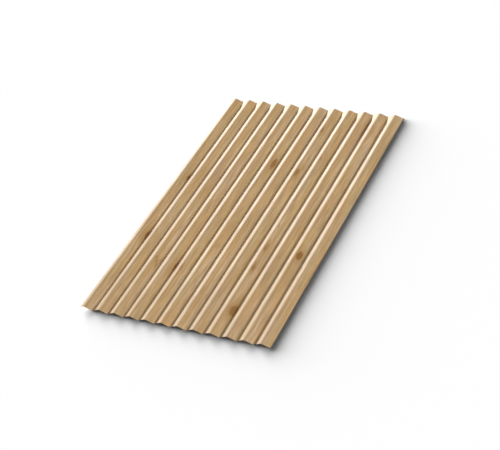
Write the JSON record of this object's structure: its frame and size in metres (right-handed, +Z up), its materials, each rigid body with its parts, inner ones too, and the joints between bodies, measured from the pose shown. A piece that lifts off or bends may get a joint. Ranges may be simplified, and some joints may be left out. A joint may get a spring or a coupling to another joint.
{
  "type": "profiled steel sheet",
  "caption": "Wood-look profiled steel sheet: a cold-rolled sheet with low, narrow rounded crests running along its length.",
  "frame": {"origin": "middle of the sheet's outline, at the level of the valleys that it rests on", "axes": "+X across the ribs from the covering edge to the covered edge, +Y along the ribs, +Z up through the coated face"},
  "size_m": [1.175, 1.9, 0.0185],
  "materials": {
    "coated_steel": "satin"
  },
  "bodies": {
    "root": {"profiled_sheet": "coated_steel"}
  },
  "joints": []
}
